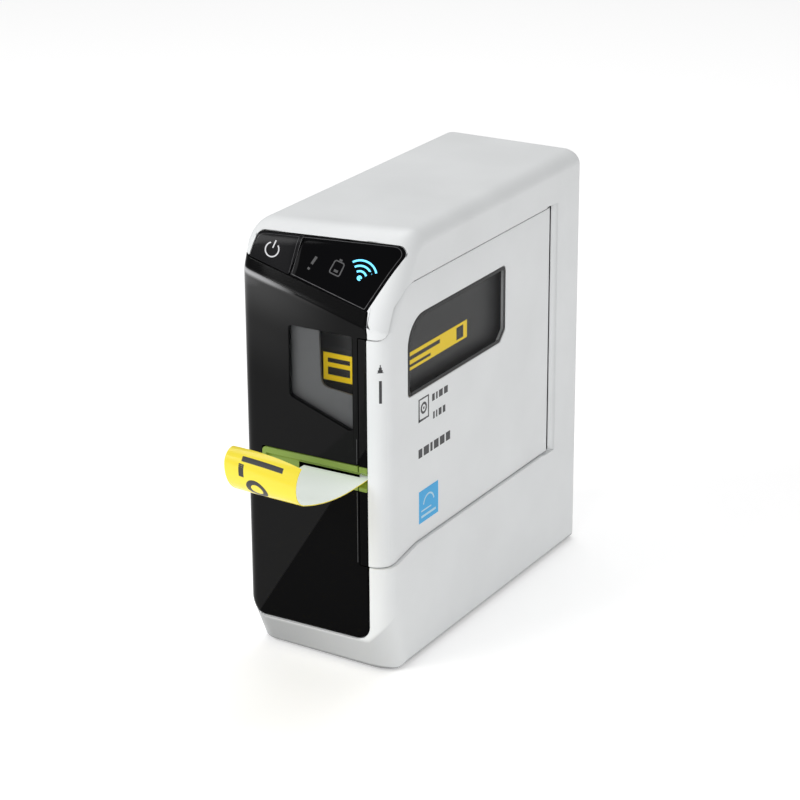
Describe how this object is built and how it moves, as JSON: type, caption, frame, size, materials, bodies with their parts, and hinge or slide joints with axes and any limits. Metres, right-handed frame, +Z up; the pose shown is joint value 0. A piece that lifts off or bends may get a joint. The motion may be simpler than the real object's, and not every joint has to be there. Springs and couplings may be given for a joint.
{
  "type": "label maker",
  "caption": "Upright desktop label maker with a swing-out tape cover, smoked cartridge windows, sloped control panel, feed and cutter drive, and a printed tape leaving the front slot.",
  "frame": {"origin": "middle of the whole part's footprint, on the surface that the feet rest on", "axes": "+Z up, -Y out of the front slot along the label, +X out of the tape cover's side"},
  "size_m": [0.054, 0.173, 0.146],
  "materials": {
    "white_shell": "fine satin moulding",
    "white_cover": "fine satin moulding",
    "pale_grey_base": "satin moulding",
    "gloss_black": "polished moulding",
    "smoked_clear": "smoked clear moulding",
    "lens_black": "polished, dead-front",
    "bezel_grey": "satin edge",
    "lime_green": "gloss moulding",
    "light_guide": "frosted clear",
    "circuit_green": "solder resist on laminate",
    "chip_black": "moulded resin",
    "chassis_grey": "moulded",
    "cartridge_grey": "moulded",
    "label_yellow": "printed film",
    "tape_yellow": "laminated film",
    "core_grey": "moulded",
    "ribbon_black": "inked film",
    "platen_rubber": "ground",
    "steel": "ground bar",
    "gear_ivory": "acetal",
    "motor_can": "plated can",
    "brass": "hobbed",
    "head_ceramic": "glazed ceramic",
    "heat_sink": "extruded",
    "blade_steel": "ground edge",
    "flex_amber": "film",
    "socket_metal": "tinned",
    "socket_black": "moulded",
    "cell_wrap": "printed sleeve",
    "foot_rubber": "soft",
    "screw_steel": "plated"
  },
  "bodies": {
    "housing": {"main_shell": "white_shell", "base_cover": "pale_grey_base", "front_panel": "gloss_black", "front_window": "smoked_clear", "control_lens": "lens_black", "control_bezel": "bezel_grey", "control_board": "circuit_green", "button_switch": "socket_metal", "status_leds": "light_guide", "exit_trim": "lime_green", "latch_catch": "chassis_grey", "hinge_pins": "steel", "inner_frame": "chassis_grey", "cartridge_case": "cartridge_grey", "cartridge_lid": "cartridge_grey", "cartridge_labels": "label_yellow", "idler_stud": "steel", "feed_motor": "motor_can", "head_arm_pin": "steel", "head_spring": "steel", "cutter_rods": "steel", "cutter_anvil": "blade_steel", "cutter_motor": "motor_can", "main_board": "circuit_green", "board_chips": "chip_black", "flex_cable": "flex_amber", "usb_socket": "socket_metal", "dc_jack": "socket_black", "battery_tray": "chassis_grey", "batteries": "cell_wrap", "battery_contacts": "steel", "rubber_feet": "foot_rubber", "base_screws": "screw_steel", "label_strip": "tape_yellow", "tape_lead": "tape_yellow"},
    "cover": {"tape_cover": "white_cover", "cover_front_strip": "gloss_black", "cover_window": "smoked_clear", "exit_trim_end": "lime_green", "cover_latch": "white_cover"},
    "button": {"power_button": "gloss_black"},
    "battery_door": {"battery_cover": "white_shell"},
    "platen": {"platen_roller": "platen_rubber", "platen_shaft": "steel", "platen_gear": "gear_ivory"},
    "idler": {"idler_gear": "gear_ivory"},
    "takeup": {"takeup_gear": "gear_ivory", "ribbon_takeup": "ribbon_black"},
    "pinion": {"motor_pinion": "brass"},
    "tape_supply": {"tape_roll": "tape_yellow", "tape_core": "core_grey"},
    "ribbon_feed": {"ribbon_supply": "ribbon_black"},
    "head": {"print_head": "head_ceramic", "head_heat_sink": "heat_sink", "head_arm": "steel"},
    "cutter": {"cutter_blade": "blade_steel", "cutter_carriage": "chassis_grey"},
    "cutter_drive": {"cutter_pinion": "brass"}
  },
  "joints": [
    {"name": "cover_hinge", "type": "hinge", "parent": "housing", "child": "cover", "pos_m": [0.0241, 0.06415, 0.085], "axis": [0, 0, 1], "range_deg": [0, 100]},
    {"name": "button_press", "type": "slide", "parent": "housing", "child": "button", "axis": [-0.1222, 0.8878, -0.4437], "range_m": [0, 0.0005], "stiffness_N_per_m": 800},
    {"name": "battery_cover_pull", "type": "slide", "parent": "housing", "child": "battery_door", "axis": [-1, 0, 0], "range_m": [0, 0.03]},
    {"name": "platen_spin", "type": "hinge", "parent": "housing", "child": "platen", "pos_m": [0.01, -0.02845, 0.07315], "axis": [1, 0, 0], "continuous": true},
    {"name": "idler_spin", "type": "hinge", "parent": "housing", "child": "idler", "pos_m": [-0.011, -0.01497, 0.08446], "axis": [1, 0, 0], "continuous": true},
    {"name": "pinion_spin", "type": "hinge", "parent": "housing", "child": "pinion", "pos_m": [-0.012, -0.00144, 0.08939], "axis": [1, 0, 0], "continuous": true},
    {"name": "takeup_spin", "type": "hinge", "parent": "housing", "child": "takeup", "pos_m": [0, -0.01802, 0.1018], "axis": [1, 0, 0], "continuous": true},
    {"name": "tape_roll_spin", "type": "hinge", "parent": "housing", "child": "tape_supply", "pos_m": [0.007, 0.01525, 0.0929], "axis": [1, 0, 0], "continuous": true},
    {"name": "ribbon_supply_spin", "type": "hinge", "parent": "housing", "child": "ribbon_feed", "pos_m": [0.007, -0.00845, 0.0785], "axis": [1, 0, 0], "continuous": true},
    {"name": "head_arm_pivot", "type": "hinge", "parent": "housing", "child": "head", "pos_m": [0.007, -0.01545, 0.055], "axis": [1, 0, 0], "range_deg": [0, 6], "deforming": ["head_spring"]},
    {"name": "cutter_slide", "type": "slide", "parent": "housing", "child": "cutter", "axis": [0, 0, -1], "range_m": [0, 0.008]},
    {"name": "cutter_pinion_spin", "type": "hinge", "parent": "housing", "child": "cutter_drive", "pos_m": [-0.012, -0.03285, 0.0971], "axis": [1, 0, 0], "range_deg": [0, 96]}
  ],
  "couplings": [
    {"joint": "idler_spin", "follows": "platen_spin", "ratio": -0.83333},
    {"joint": "pinion_spin", "follows": "platen_spin", "ratio": 1.6667},
    {"joint": "takeup_spin", "follows": "platen_spin", "ratio": 1},
    {"joint": "tape_roll_spin", "follows": "platen_spin", "ratio": 0.25641},
    {"joint": "ribbon_supply_spin", "follows": "platen_spin", "ratio": 0.71429},
    {"joint": "head_arm_pivot", "follows": "cover_hinge", "ratio": 0.06},
    {"joint": "cutter_pinion_spin", "follows": "cutter_slide", "rad_per_m": 208.33}
  ]
}
